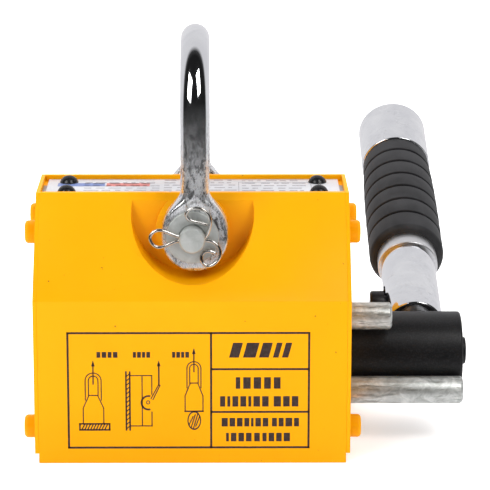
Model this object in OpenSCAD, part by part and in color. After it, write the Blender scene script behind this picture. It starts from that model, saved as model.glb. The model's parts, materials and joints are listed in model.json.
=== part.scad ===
// Permanent magnetic lifter of the 100 kg class.
// Millimetres.  X runs along the rotor towards the handle hub, Y runs from the front
// to the back, Z runs up.  The origin is the middle of the magnetic underside.

/* [Display] */
// Node to draw, or all
// Smoothness of curved faces
$fn = 72; // [24:4:144]

/* [Body] */
// Length over the two end covers
body_length = 85; // [80:0.5:90]
// Width from front to back
body_width = 64; // [60:0.5:68]
// Height to the top rim
body_height = 70.3; // [66:0.1:74]
// Height where the upright sides turn into the slopes
kink_z = 45.1; // [40:0.1:50]
// Half width at the top rim
top_half = 11.95; // [10:0.05:15]
// Thickness of an end cover
cover_t = 1.1; // [0.8:0.1:3]
// Height of the end covers above the underside
cover_lift = 2.7; // [0:0.1:5]
// Width of the strips and magnet between the pole blocks
gap_w = 9; // [6:0.5:12]
// Width of the vee groove
groove_w = 20; // [10:1:24]
// Depth of the vee groove
groove_d = 4.5; // [2:0.5:6]
// Thickness of the rim in front of and behind the nameplate
rim_t = 1.5; // [1:0.1:3]
// Depth of the seat of the nameplate below the rim
tray_d = 1.6; // [1:0.1:3]

/* [Shackle] */
// Height of the cross pin
pin_z = 60.8; // [58:0.1:64]
// Radius of the cross pin
pin_r = 3.5; // [3:0.1:5]
// Half length of the cross pin
pin_half = 28.7; // [26:0.1:31]
// Radius of the pocket in each slope
pocket_r = 16.6; // [14:0.1:20]
// Height of the centre of the pocket
pocket_z = 65.4; // [60:0.1:68]
// Distance of the pocket floor from the middle
pocket_y = 13.4; // [10:0.1:18]
// Radius of the round seat behind the shackle eye
seat_r = 10; // [9:0.1:12]
// Distance of that seat's face from the middle
seat_y = 16.2; // [14:0.1:17]
// Radius of the shackle rod
rod_r = 3.9; // [3:0.1:5]
// Half the distance between the two legs
leg_y = 20.5; // [18:0.1:24]
// Height of the centre of the bow
bow_z = 90; // [80:0.5:100]
// Outer radius of an eye
eye_r = 8.9; // [8:0.05:10]
// Thickness of an eye
eye_t = 6; // [4:0.1:7]

/* [Rotor] */
// Height of the rotor axis
axis_z = 22.25; // [20:0.05:25]
// Radius of the bore in the pole blocks
bore_r = 15.5; // [14:0.1:17]
// Radius of the rotor
rotor_r = 15.2; // [13:0.1:16.7]
// Radius of the hub
hub_r = 11; // [10:0.1:12]
// Outer end of the hub
hub_end = 74.6; // [70:0.1:80]
// Radius of the two long stop pins
long_pin_r = 3.75; // [3:0.05:4.5]
// Radius of the short limit pin
short_pin_r = 3.75; // [3:0.05:4.5]

/* [Handle] */
// Lean of the handle from the vertical, towards the back
handle_lean = 72.2; // [60:0.1:80]
// Distance of the handle axis along X
handle_x = 62.9; // [60:0.1:66]
// Radius of the bright tube
tube_r = 8; // [7:0.05:9]
// Start of the bright tube above the rotor axis
tube_s = 12.5; // [12:0.1:14]
// Start of the collar
collar_s = 43.8; // [40:0.1:46]
// Radius of the collar
collar_r = 8.8; // [8:0.1:10]
// Start of the rubber grip
grip_s = 49; // [47:0.1:52]
// Start of the tip cap
tip_s = 103.5; // [100:0.1:106]
// End of the handle
tip_end = 127; // [120:0.5:130]
// Radius of the tip cap
tip_r = 10.6; // [9:0.1:12]
// Distance of the safety key from the rotor axis
key_s = 24.5; // [24:0.1:26]
// Travel of the safety key
key_travel = 4.5; // [3:0.1:5]

/* [Hidden] */
half_l = body_length / 2;
half_w = body_width / 2;
block_half = half_l - cover_t;
gap_h = gap_w / 2;
groove_h = groove_w / 2;
groove_at_gap = groove_d * (1 - gap_h / groove_h);
tray_z = body_height - tray_d;
rim_in = top_half - rim_t;
magnet_top = 53;
plate_in = 36.3;
disc_out = 36;
rotor_half = 34;
shaft_r = 7;
pivot_r = 5;
stem_r = 5.5;
core_r = 4;
wire_r = 0.4;
washer_y = 23.8;
split_y = 25.95;
// Places of the pins and screws in the right-hand end, as distance in Y and height
front_pin = [-13.3, 14.85];
rear_pin = [13.3, 14.85];
limit_pin = [-10.4, 35.2];
screw_places = [[10.5, 59.1], [24, 8]];
screw_r = 2;
// Outer ends of the long stop pins and of the short pin
stop_end = 74.3;
limit_end = 54.6;
end_chamfer = 0.6;
// Rivets of the nameplate
rivet_x = 34.5;
rivet_y = 6.2;
rivet_r = 1.3;
// Underside of the fixed magnet and top of the brass strip
magnet_low = 34;
brass_top = 9;
// Bushes of the shaft and of the pivot
bush_r = 9;
pivot_bush_r = 7;
running_gap = 0.05;
shaft_end = 73.5;
hub_gap = 0.3;
hub_round = 0.8;
screw_start = 69;
screw_head_r = 3.8;
screw_head_h = 1.5;
screw_head_round = 0.45;
// Shackle: it hangs loose on its pin, so the middle of an eye sits beside and below the pin
eye_x = 0.7;
eye_drop = 0.75;
eye_z = pin_z - eye_drop;
eye_bore_r = 4.65;
// Chamfer of an eye and the height range of the shoulder above it
eye_chamfer = 0.7;
shoulder_r = 8;
shoulder_low = 64.8;
shoulder_high = 72.5;
shoulder_face = eye_t / 2 - 0.15;
// Split pins
eye_ring_r = 2.35;
// Bright tube, collar and tip cap
tube_end = 46;
spring_room_r = 6.2;
slot_r = 2.35;
slot_play = 0.2;
collar_round = 0.4;
sleeve_r = 7;
tip_round = 1.5;
tip_length = tip_end - tip_s;
// Ring grooves of the grip
ring_first = 8.4;
ring_pitch = 7.73;
ring_w = 0.9;
// Return spring of the key
spring_s = 33.4;
spring_pitch = 1.3;
spring_turn_r = 5.1;
yellow = [0.99, 0.66, 0.0];
steel = [0.62, 0.63, 0.65];
bright = [0.85, 0.86, 0.88];
zinc = [0.66, 0.68, 0.66];
dark = [0.06, 0.06, 0.065];
brass = [0.80, 0.62, 0.28];
grey = [0.33, 0.33, 0.34];

// A cylinder along X that starts at x and is l long.
module rod_x(x, y, z, r, l) {
    translate([x, y, z])
        rotate([0, 90, 0])
            cylinder(r = r, h = l);
}

// A cylinder along Y that starts at y and is l long.
module rod_y(x, y, z, r, l) {
    translate([x, y, z])
        rotate([-90, 0, 0])
            cylinder(r = r, h = l);
}

// The outline of the body seen from the end, drawn in Y and Z.
module body_outline() {
    polygon([[-half_w, 0], [half_w, 0], [half_w, kink_z], [top_half, body_height],
        [-top_half, body_height], [-half_w, kink_z]]);
}

// A shape drawn in Y and Z, stretched along X from x0 to x1.
module along_x(x0, x1) {
    translate([x0, 0, 0])
        rotate([90, 0, 90])
            linear_extrude(height = x1 - x0)
                children();
}

// The pocket of one slope, for the front.
module pocket_front() {
    difference() {
        rod_y(0, -half_w - 1, pocket_z, pocket_r, half_w + 1 - pocket_y);
        rod_y(0, -seat_y, pin_z, seat_r, seat_y - pocket_y + 1);
    }
}

// One pole block, for the front.
module pole_block() {
    difference() {
        along_x(-block_half, block_half)
            polygon([[-half_w, 0], [-half_w, kink_z], [-top_half, body_height],
                [-rim_in, body_height], [-rim_in, tray_z], [-gap_h, tray_z],
                [-gap_h, groove_at_gap], [-groove_h, 0]]);
        rod_x(-block_half - 1, 0, axis_z, bore_r, 2 * block_half + 2);
        pocket_front();
        rod_y(0, -half_w, pin_z, pin_r, half_w);
        for (side = [-1, 1]) {
            for (place = screw_places)
                rod_x(side * block_half - 10, -place[0], place[1], screw_r, 20);
            translate([side * rivet_x, -rivet_y, tray_z - 4])
                cylinder(r = rivet_r, h = 8);
        }
        children();
    }
}

module pole_block_front() {
    color(yellow)
        pole_block() {
            union() {
                rod_x(plate_in, front_pin[0], front_pin[1], long_pin_r, 10);
                rod_x(plate_in, limit_pin[0], limit_pin[1], short_pin_r, 10);
            }
        }
}

module pole_block_back() {
    color(yellow)
        difference() {
            mirror([0, 1, 0])
                pole_block();
            rod_x(plate_in, rear_pin[0], rear_pin[1], long_pin_r, 10);
        }
}

module stator_magnet() {
    color(grey)
        difference() {
            translate([-block_half, -gap_h, magnet_low])
                cube([2 * block_half, gap_w, magnet_top - magnet_low]);
            rod_x(-block_half - 1, 0, axis_z, bore_r, 2 * block_half + 2);
        }
}

module spacer_top() {
    color(steel)
        difference() {
            translate([-block_half, -gap_h, magnet_top])
                cube([2 * block_half, gap_w, tray_z - magnet_top]);
            rod_y(0, -gap_h - 1, pin_z, pin_r, gap_w + 2);
        }
}

module spacer_bottom() {
    color(brass)
        difference() {
            along_x(-block_half, block_half)
                polygon([[-gap_h, groove_at_gap], [0, groove_d], [gap_h, groove_at_gap],
                    [gap_h, brass_top], [-gap_h, brass_top]]);
            rod_x(-block_half - 1, 0, axis_z, bore_r, 2 * block_half + 2);
        }
}

// The sheet of one end cover between x0 and x1.
module cover_sheet(x0, x1) {
    intersection() {
        along_x(x0, x1)
            body_outline();
        translate([x0 - 1, -half_w, cover_lift])
            cube([x1 - x0 + 2, body_width, body_height]);
    }
}

module cover_screw_holes(x) {
    for (side = [-1, 1], place = screw_places)
        rod_x(x - 3, side * place[0], place[1], screw_r, 6);
}

module end_cover_left() {
    color(yellow)
        difference() {
            cover_sheet(-half_l, -block_half);
            cover_screw_holes(-half_l);
        }
}

module end_cover_right() {
    color(yellow)
        difference() {
            cover_sheet(block_half, half_l);
            cover_screw_holes(half_l);
            rod_x(block_half - 1, 0, axis_z, bush_r, 4);
            rod_x(block_half - 1, front_pin[0], front_pin[1], long_pin_r, 4);
            rod_x(block_half - 1, rear_pin[0], rear_pin[1], long_pin_r, 4);
            rod_x(block_half - 1, limit_pin[0], limit_pin[1], short_pin_r, 4);
        }
}

module end_plate_left() {
    color(steel)
        difference() {
            rod_x(-block_half, 0, axis_z, bore_r, block_half - plate_in);
            rod_x(-block_half - 1, 0, axis_z, pivot_bush_r, 10);
        }
}

module end_plate_right() {
    color(steel)
        difference() {
            rod_x(plate_in, 0, axis_z, bore_r, block_half - plate_in);
            rod_x(plate_in - 1, 0, axis_z, bush_r, 10);
            rod_x(plate_in - 1, front_pin[0], front_pin[1], long_pin_r, 10);
            rod_x(plate_in - 1, rear_pin[0], rear_pin[1], long_pin_r, 10);
            rod_x(plate_in - 1, limit_pin[0], limit_pin[1], short_pin_r, 10);
        }
}

module bush_left() {
    color(brass)
        difference() {
            rod_x(-block_half, 0, axis_z, pivot_bush_r, block_half - plate_in);
            rod_x(-block_half - 1, 0, axis_z, pivot_r + running_gap, 10);
        }
}

module bush_right() {
    color(brass)
        difference() {
            rod_x(plate_in, 0, axis_z, bush_r, half_l - plate_in);
            rod_x(plate_in - 1, 0, axis_z, shaft_r + running_gap, 10);
        }
}

// One cover screw, drawn on +Z with its head from z = 0 upwards.
module cap_screw() {
    difference() {
        union() {
            cylinder(r = 3.15, h = 2.2);
            cylinder(r = 2.15, h = 3.2);
            translate([0, 0, 2.2])
                rotate_extrude()
                    union() {
                        square([2.15, 1]);
                        translate([2.15, 0])
                            intersection() {
                                circle(r = 1);
                                square([1, 1]);
                            }
                    }
            translate([0, 0, -cover_t - 8.9])
                cylinder(r = screw_r, h = cover_t + 8.9);
        }
        translate([0, 0, 1.4])
            cylinder(r = 1.6, h = 3, $fn = 6);
    }
}

module cap_screws_one_end() {
    for (side = [-1, 1], place = screw_places)
        translate([half_l, side * place[0], place[1]])
            rotate([0, 90, 0])
                cap_screw();
}

module cap_screws_right() {
    color(yellow)
        cap_screws_one_end();
}

module cap_screws_left() {
    color(yellow)
        mirror([1, 0, 0])
            cap_screws_one_end();
}

module nameplate() {
    color(bright)
        difference() {
            translate([-40.3, -10.3, tray_z])
                cube([80.6, 20.6, 0.5]);
            for (sx = [-1, 1], sy = [-1, 1])
                translate([sx * rivet_x, sy * rivet_y, tray_z - 1])
                    cylinder(r = rivet_r, h = 3);
        }
}

// One rivet with a domed head that sits on the nameplate.
module rivet() {
    cylinder(r = rivet_r, h = 4.5);
    translate([0, 0, 4.5])
        intersection() {
            translate([0, 0, -0.65])
                sphere(r = 2.65);
            cylinder(r = 2.55, h = 2);
        }
}

module nameplate_rivets() {
    color(dark)
        for (sx = [-1, 1], sy = [-1, 1])
            translate([sx * rivet_x, sy * rivet_y, tray_z - 4])
                rivet();
}

module shackle_pin() {
    color(zinc)
        difference() {
            union() {
                rod_y(0, -pin_half + 0.5, pin_z, pin_r, 2 * pin_half - 1);
                for (side = [-1, 1])
                    translate([0, side * (pin_half - 0.5), pin_z])
                        rotate([-90 * side, 0, 0])
                            cylinder(r1 = pin_r, r2 = pin_r - 0.4, h = 0.5);
            }
            for (side = [-1, 1])
                rod_x(-6, side * split_y, pin_z, 0.95, 12);
        }
}

module washer() {
    difference() {
        rod_y(0, washer_y, pin_z, 7.1, 1.2);
        rod_y(0, washer_y - 1, pin_z, pin_r + 0.04, 4);
    }
}

module washer_back() {
    color(zinc)
        washer();
}

module washer_front() {
    color(zinc)
        mirror([0, 1, 0])
            washer();
}

// A wire between two points of the X and Z plane.
module wire(a, b) {
    dx = b[0] - a[0];
    dz = b[1] - a[1];
    translate([a[0], 0, a[1]])
        rotate([0, atan2(dx, dz), 0])
            cylinder(r = wire_r - 0.03, h = sqrt(dx * dx + dz * dz), $fn = 20);
}

// A wire ring in the X and Z plane.
module wire_ring(c, r) {
    translate([c[0], 0, c[1]])
        rotate([90, 0, 0])
            rotate_extrude($fn = 48)
                translate([r, 0])
                    circle(r = wire_r, $fn = 20);
}

// A split pin in the X and Z plane, with its eye at -X and both legs curled.
module split_pin() {
    rod_x(-4, 0, 0, 0.75, 8.2);
    wire([-3.6, 0.2], [-8.2, 2.19]);
    wire([-3.6, -0.2], [-8.2, -2.19]);
    wire_ring([-9.06, 0], eye_ring_r);
    wire([3.9, 0.2], [4.4, 6.2]);
    wire_ring([2, 6.2], 2.4);
    wire([3.7, -0.2], [7.1, -3.2]);
    wire_ring([5.05, -4.85], 2.59);
}

module split_pin_front() {
    color(steel)
        translate([0, -split_y, pin_z])
            split_pin();
}

module split_pin_back() {
    color(steel)
        mirror([0, 1, 0])
            translate([0, -split_y, pin_z])
                split_pin();
}

// A plain pin along X with a chamfered outer end.
module end_pin(y, z, r, x1) {
    rod_x(plate_in, y, z, r, x1 - end_chamfer - plate_in);
    translate([x1 - end_chamfer, y, z])
        rotate([0, 90, 0])
            cylinder(r1 = r, r2 = r - end_chamfer, h = end_chamfer);
}

module stop_pin_front() {
    color(zinc)
        end_pin(front_pin[0], front_pin[1], long_pin_r, stop_end);
}

module stop_pin_rear() {
    color(zinc)
        end_pin(rear_pin[0], rear_pin[1], long_pin_r, stop_end);
}

module limit_pin_short() {
    color(zinc)
        end_pin(limit_pin[0], limit_pin[1], short_pin_r, limit_end);
}

// One leg of the shackle, for the back: eye, shoulder and straight rod.
module shackle_leg() {
    translate([0, leg_y - eye_t / 2, eye_z])
        rotate([-90, 0, 0]) {
            cylinder(r1 = eye_r - eye_chamfer, r2 = eye_r, h = eye_chamfer);
            translate([0, 0, eye_chamfer])
                cylinder(r = eye_r, h = eye_t - 2 * eye_chamfer);
            translate([0, 0, eye_t - eye_chamfer])
                cylinder(r1 = eye_r, r2 = eye_r - eye_chamfer, h = eye_chamfer);
        }
    intersection() {
        translate([0, leg_y, shoulder_low])
            cylinder(r1 = shoulder_r, r2 = rod_r, h = shoulder_high - shoulder_low);
        along_x(-10, 10)
            polygon([[leg_y - shoulder_face, 60], [leg_y + shoulder_face, 60],
                [leg_y + shoulder_face, 68], [leg_y + rod_r + 0.2, 73],
                [leg_y - rod_r - 0.2, 73], [leg_y - shoulder_face, 68]]);
    }
    translate([0, leg_y, shoulder_high])
        cylinder(r = rod_r, h = bow_z - shoulder_high);
}

module shackle() {
    color(bright)
        translate([eye_x, 0, 0])
            difference() {
                union() {
                    shackle_leg();
                    mirror([0, 1, 0])
                        shackle_leg();
                    translate([0, 0, bow_z])
                        rotate([90, 0, 90])
                            rotate_extrude(angle = 180)
                                translate([leg_y, 0])
                                    circle(r = rod_r, $fn = 40);
                }
                rod_y(0, -30, eye_z, eye_bore_r, 60);
            }
}

// The rotor cylinder cut to a range of Y.
module rotor_slice(y0, y1) {
    intersection() {
        rod_x(-rotor_half, 0, axis_z, rotor_r, 2 * rotor_half);
        translate([-rotor_half - 1, y0, 0])
            cube([2 * rotor_half + 2, y1 - y0, 50]);
    }
}

module rotor_pole_front() {
    color(steel)
        rotor_slice(-20, -5);
}

module rotor_pole_back() {
    color(steel)
        rotor_slice(5, 20);
}

module rotor_magnet() {
    color(grey)
        rotor_slice(-5, 5);
}

module rotor_disc_left() {
    color(brass)
        rod_x(-disc_out, 0, axis_z, rotor_r, disc_out - rotor_half);
}

module rotor_disc_right() {
    color(brass)
        rod_x(rotor_half, 0, axis_z, rotor_r, disc_out - rotor_half);
}

module rotor_pivot() {
    color(steel)
        rod_x(-40.9, 0, axis_z, pivot_r, 40.9 - disc_out);
}

// The handle frame: local Z runs out along the handle from the rotor axis.
module on_handle() {
    translate([handle_x, 0, axis_z])
        rotate([-handle_lean, 0, 0])
            children();
}

module rotor_shaft() {
    color(steel)
        difference() {
            rod_x(disc_out, 0, axis_z, shaft_r, shaft_end - disc_out);
            on_handle()
                translate([0, 0, -2])
                    cylinder(r = stem_r, h = 12);
            rod_x(screw_start, 0, axis_z, screw_r, 6);
        }
}

// Half the section of the hub, l long, with rounded rims.
module hub_outline(l) {
    square([hub_r - hub_round, l]);
    translate([0, hub_round])
        square([hub_r, l - 2 * hub_round]);
    translate([hub_r - hub_round, hub_round])
        circle(r = hub_round);
    translate([hub_r - hub_round, l - hub_round])
        circle(r = hub_round);
}

module hub() {
    color(dark)
        difference() {
            translate([half_l + hub_gap, 0, axis_z])
                rotate([0, 90, 0])
                    rotate_extrude()
                        hub_outline(hub_end - half_l - hub_gap);
            rod_x(half_l - 1, 0, axis_z, shaft_r, shaft_end - half_l + 1);
            rod_x(70, 0, axis_z, screw_r, 8);
            on_handle()
                cylinder(r = stem_r, h = 14);
        }
}

// Half the section of the head of the hub screw.
module screw_head_outline() {
    square([screw_head_r - screw_head_round, screw_head_h]);
    square([screw_head_r, screw_head_h - screw_head_round]);
    translate([screw_head_r - screw_head_round, screw_head_h - screw_head_round])
        circle(r = screw_head_round);
}

module hub_screw() {
    color(dark)
        difference() {
            union() {
                rod_x(screw_start, 0, axis_z, screw_r, hub_end - screw_start);
                translate([hub_end, 0, axis_z])
                    rotate([0, 90, 0])
                        rotate_extrude()
                            screw_head_outline();
            }
            translate([hub_end - 1, 0, axis_z])
                rotate([0, 90, 0])
                    cylinder(r = 1.5, h = 3, $fn = 6);
        }
}

module handle_stem() {
    color(steel)
        on_handle() {
            translate([0, 0, -2])
                cylinder(r = stem_r, h = 18);
            translate([0, 0, 15.9])
                cylinder(r = core_r, h = 96.1);
        }
}

module handle_tube() {
    color(bright)
        on_handle()
            difference() {
                union() {
                    translate([0, 0, tube_s])
                        cylinder(r1 = tube_r - 0.5, r2 = tube_r, h = 0.5);
                    translate([0, 0, tube_s + 0.5])
                        cylinder(r = tube_r, h = tube_end - tube_s - 0.5);
                }
                cylinder(r = stem_r, h = 16);
                translate([0, 0, 16])
                    cylinder(r = spring_room_r, h = 26);
                translate([0, 0, 30])
                    cylinder(r = core_r, h = 30);
                translate([0, 0, key_s])
                    rotate([0, -90, 0])
                        cylinder(r = slot_r, h = 12);
                translate([0, 0, key_s + key_travel + slot_play])
                    rotate([0, -90, 0])
                        cylinder(r = slot_r, h = 12);
                translate([-12, -slot_r, key_s])
                    cube([12, 2 * slot_r, key_travel + slot_play]);
            }
}

module handle_collar() {
    color(bright)
        on_handle()
            difference() {
                union() {
                    translate([0, 0, collar_s])
                        rotate_extrude()
                            union() {
                                square([collar_r - collar_round, grip_s - collar_s + 0.5]);
                                translate([0, collar_round])
                                    square([collar_r, grip_s - collar_s + 0.5 - collar_round]);
                                translate([collar_r - collar_round, collar_round])
                                    circle(r = collar_round);
                            }
                    translate([0, 0, grip_s])
                        cylinder(r = sleeve_r, h = tip_s - grip_s);
                }
                translate([0, 0, collar_s - 1])
                    cylinder(r = tube_r, h = tube_end - collar_s + 1);
                translate([0, 0, collar_s])
                    cylinder(r = core_r, h = 80);
            }
}

// The outline of the grip in radius and distance, with six ring grooves.
module grip_outline() {
    difference() {
        union() {
            polygon([[6, 0.5], [8.9, 0], [9.1, 0], [9.1, 1.9], [11, 1.9], [11.1, 18],
                [11.1, 34], [10.65, 53.7], [9.8, 54.5], [6, 54.5]]);
            translate([9.1, 1.9])
                circle(r = 1.9);
        }
        for (i = [0:5])
            translate([10.4, ring_first + ring_pitch * i])
                square([2, ring_w]);
    }
}

module handle_grip() {
    color(grey)
        on_handle()
            translate([0, 0, grip_s])
                difference() {
                    rotate_extrude()
                        grip_outline();
                    translate([0, 0, -1])
                        cylinder(r = sleeve_r, h = 60);
                    translate([0, 0, -1])
                        cylinder(r = collar_r, h = 1.5);
                }
}

// Half the section of the tip cap: a small round at its foot and a large one at its end.
module tip_outline() {
    square([tip_r - collar_round, tip_length - tip_round]);
    translate([0, collar_round])
        square([tip_r, tip_length - tip_round - collar_round]);
    translate([tip_r - collar_round, collar_round])
        circle(r = collar_round);
    square([tip_r - tip_round, tip_length]);
    translate([tip_r - tip_round, tip_length - tip_round])
        circle(r = tip_round);
}

module handle_tip_cap() {
    color(bright)
        on_handle()
            translate([0, 0, tip_s])
                difference() {
                    rotate_extrude()
                        tip_outline();
                    translate([0, 0, -1])
                        cylinder(r = core_r, h = 9.5);
                }
}

// The return spring of the key, drawn squeezed between the key and the tube end.
module key_spring() {
    color(steel)
        on_handle() {
            for (i = [0:6])
                translate([0, 0, spring_s + spring_pitch * i])
                    rotate_extrude()
                        translate([spring_turn_r, 0])
                            circle(r = 0.42);
            translate([spring_turn_r, 0, spring_s])
                cylinder(r = 0.3, h = 6 * spring_pitch);
        }
}

module safety_key() {
    color(dark)
        on_handle()
            difference() {
                union() {
                    translate([0, 0, key_s - 3])
                        cylinder(r = 6.1, h = 6);
                    translate([0, 0, key_s])
                        rotate([0, -90, 0])
                            cylinder(r = 2.2, h = 9.5);
                    translate([-8.3, 0, key_s])
                        rotate([0, -90, 0])
                            cylinder(r = 3.5, h = 3.5);
                    translate([-11.8, 0, key_s])
                        rotate([0, -90, 0])
                            cylinder(r1 = 3.5, r2 = 3.1, h = 0.4);
                }
                translate([0, 0, key_s - 5])
                    cylinder(r = core_r + 0.06, h = 10);
            }
}

pole_block_front();
pole_block_back();
stator_magnet();
spacer_top();
spacer_bottom();
end_cover_left();
end_cover_right();
end_plate_left();
end_plate_right();
bush_left();
bush_right();
cap_screws_left();
cap_screws_right();
nameplate();
nameplate_rivets();
shackle_pin();
washer_front();
washer_back();
split_pin_front();
split_pin_back();
stop_pin_front();
stop_pin_rear();
limit_pin_short();
shackle();
rotor_pole_front();
rotor_pole_back();
rotor_magnet();
rotor_disc_left();
rotor_disc_right();
rotor_pivot();
rotor_shaft();
hub();
hub_screw();
handle_stem();
handle_tube();
handle_collar();
handle_grip();
handle_tip_cap();
key_spring();
safety_key();
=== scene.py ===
"""Looks of the magnetic lifter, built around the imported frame.

Lengths are in metres. MM turns a number of millimetres into metres. Outlines, routes and
pictures are written in millimetres and scaled when their meshes are made.
"""
import json
import math
import random

import bmesh
import bpy
from mathutils import Matrix, Vector


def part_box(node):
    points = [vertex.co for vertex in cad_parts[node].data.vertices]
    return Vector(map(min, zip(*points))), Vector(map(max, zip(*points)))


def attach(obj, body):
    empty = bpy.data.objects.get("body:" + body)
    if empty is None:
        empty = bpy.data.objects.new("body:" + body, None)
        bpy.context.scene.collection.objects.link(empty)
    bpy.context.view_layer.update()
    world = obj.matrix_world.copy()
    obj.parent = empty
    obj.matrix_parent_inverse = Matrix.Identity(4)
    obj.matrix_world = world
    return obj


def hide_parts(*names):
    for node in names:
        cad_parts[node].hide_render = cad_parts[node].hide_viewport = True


MM = 0.001
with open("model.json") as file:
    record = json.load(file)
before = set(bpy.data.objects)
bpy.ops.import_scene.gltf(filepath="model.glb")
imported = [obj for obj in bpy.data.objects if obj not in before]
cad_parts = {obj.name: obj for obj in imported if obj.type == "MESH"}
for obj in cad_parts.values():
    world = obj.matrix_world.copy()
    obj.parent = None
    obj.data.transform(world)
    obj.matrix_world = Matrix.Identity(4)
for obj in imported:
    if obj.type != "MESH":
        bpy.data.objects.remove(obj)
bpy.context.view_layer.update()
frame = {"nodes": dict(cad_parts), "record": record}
nodes = frame["nodes"]
joints = {joint["name"]: joint for joint in frame["record"]["behaviour"]["joints"]}
body_of_node = {}
for body_name, members in frame["record"]["behaviour"]["bodies"].items():
    for member in members:
        body_of_node[member] = body_name
slot_of_node = {row["node"]: row["material_slot"] for row in frame["record"]["subparts"]}


# ---------------------------------------------------------------- materials

# Places of the factor and the two colours, and of the result, on a colour mix node.
MIX_INPUTS = (0, 6, 7)
MIX_OUTPUT = 2


def ramp_node(tree, value, stops):
    """A colour ramp; each stop is a place with either a colour or one grey level."""
    node = tree.nodes.new("ShaderNodeValToRGB")
    elements = node.color_ramp.elements
    while len(elements) < len(stops):
        elements.new(0.5)
    for element, (place, colour) in zip(elements, stops):
        grey = (colour,) * 3
        element.position = place
        element.color = (*(colour if isinstance(colour, tuple) else grey), 1)
    tree.links.new(value, node.inputs["Fac"])
    return node.outputs["Color"]


class Shader:
    """One node material with short calls for the parts that repeat."""

    def __init__(self, name, colour, roughness, metallic=0.0, **sockets):
        self.material = bpy.data.materials.new(name)
        self.material.use_nodes = True
        self.tree = self.material.node_tree
        self.bsdf = self.tree.nodes["Principled BSDF"]
        self.bsdf.inputs["Base Color"].default_value = (*colour, 1)
        self.bsdf.inputs["Roughness"].default_value = roughness
        self.bsdf.inputs["Metallic"].default_value = metallic
        for key, value in sockets.items():
            self.bsdf.inputs[key.replace("_", " ")].default_value = value
        self.coords = self.tree.nodes.new("ShaderNodeTexCoord").outputs["Object"]
        self.height = None

    def link(self, a, b):
        self.tree.links.new(a, b)

    def put(self, value, socket):
        """Links an output to a socket, or sets a colour or a number on it."""
        if isinstance(value, bpy.types.NodeSocket):
            self.link(value, socket)
        elif isinstance(value, tuple):
            socket.default_value = (*value, 1)
        else:
            socket.default_value = value

    def stretched(self, scale):
        """Object coordinates scaled by axis, for grain that runs one way."""
        mapping = self.tree.nodes.new("ShaderNodeMapping")
        mapping.inputs["Scale"].default_value = scale
        self.link(self.coords, mapping.inputs["Vector"])
        return mapping.outputs["Vector"]

    def noise(self, scale, detail=3.0, distortion=0.0, rough=0.5, vector=None):
        """A noise from 0 to 1; scale counts its features per metre."""
        node = self.tree.nodes.new("ShaderNodeTexNoise")
        node.inputs["Scale"].default_value = scale
        node.inputs["Detail"].default_value = detail
        node.inputs["Distortion"].default_value = distortion
        node.inputs["Roughness"].default_value = rough
        self.link(vector or self.coords, node.inputs["Vector"])
        return node.outputs["Fac"]

    def ramp(self, value, *stops):
        """Turns a value into greys or colours; each stop is a place and what it gives."""
        return ramp_node(self.tree, value, stops)

    def mix(self, factor, a, b):
        """Blends from a to b by the factor."""
        node = self.tree.nodes.new("ShaderNodeMix")
        node.data_type = "RGBA"
        for index, value in zip(MIX_INPUTS, (factor, a, b)):
            self.put(value, node.inputs[index])
        return node.outputs[MIX_OUTPUT]

    def maths(self, operation, a, b):
        node = self.tree.nodes.new("ShaderNodeMath")
        node.operation = operation
        for socket, value in zip(node.inputs, (a, b)):
            self.put(value, socket)
        return node.outputs[0]

    def times(self, a, b):
        return self.maths("MULTIPLY", a, b)

    def axis(self, letter):
        """One object coordinate, X, Y or Z."""
        node = self.tree.nodes.new("ShaderNodeSeparateXYZ")
        self.link(self.coords, node.inputs[0])
        return node.outputs[letter]

    def colour(self, socket):
        self.link(socket, self.bsdf.inputs["Base Color"])

    def roughness(self, value, low, high):
        """Spreads a value from 0 to 1 over a range of roughness."""
        node = self.tree.nodes.new("ShaderNodeMapRange")
        node.inputs["To Min"].default_value = low
        node.inputs["To Max"].default_value = high
        self.link(value, node.inputs["Value"])
        self.link(node.outputs["Result"], self.bsdf.inputs["Roughness"])

    def bump(self, value, strength, distance):
        """Adds a bump on top of those made before it."""
        node = self.tree.nodes.new("ShaderNodeBump")
        node.inputs["Strength"].default_value = strength
        node.inputs["Distance"].default_value = distance
        self.link(value, node.inputs["Height"])
        if self.height is not None:
            self.link(self.height, node.inputs["Normal"])
        self.height = node.outputs["Normal"]
        self.link(self.height, self.bsdf.inputs["Normal"])


YELLOW = (0.80, 0.34, 0.001)
YELLOW_DEEP = (0.79, 0.325, 0.001)
YELLOW_PALE = (0.82, 0.345, 0.001)
# A paler orange and its share, mixed into the enamel of the rounded edges as a painted highlight.
YELLOW_EDGE_HIGHLIGHT = (0.92, 0.44, 0.02)
EDGE_HIGHLIGHT_SHARE = 0.3
NICK_BROWN = (0.16, 0.06, 0.01)
GROUND_DARK = (0.30, 0.30, 0.31)
GROUND_LIGHT = (0.55, 0.55, 0.56)
# Below this height the enamel is ground away to bare steel.
BARE_BELOW = 0.05 * MM


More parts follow.
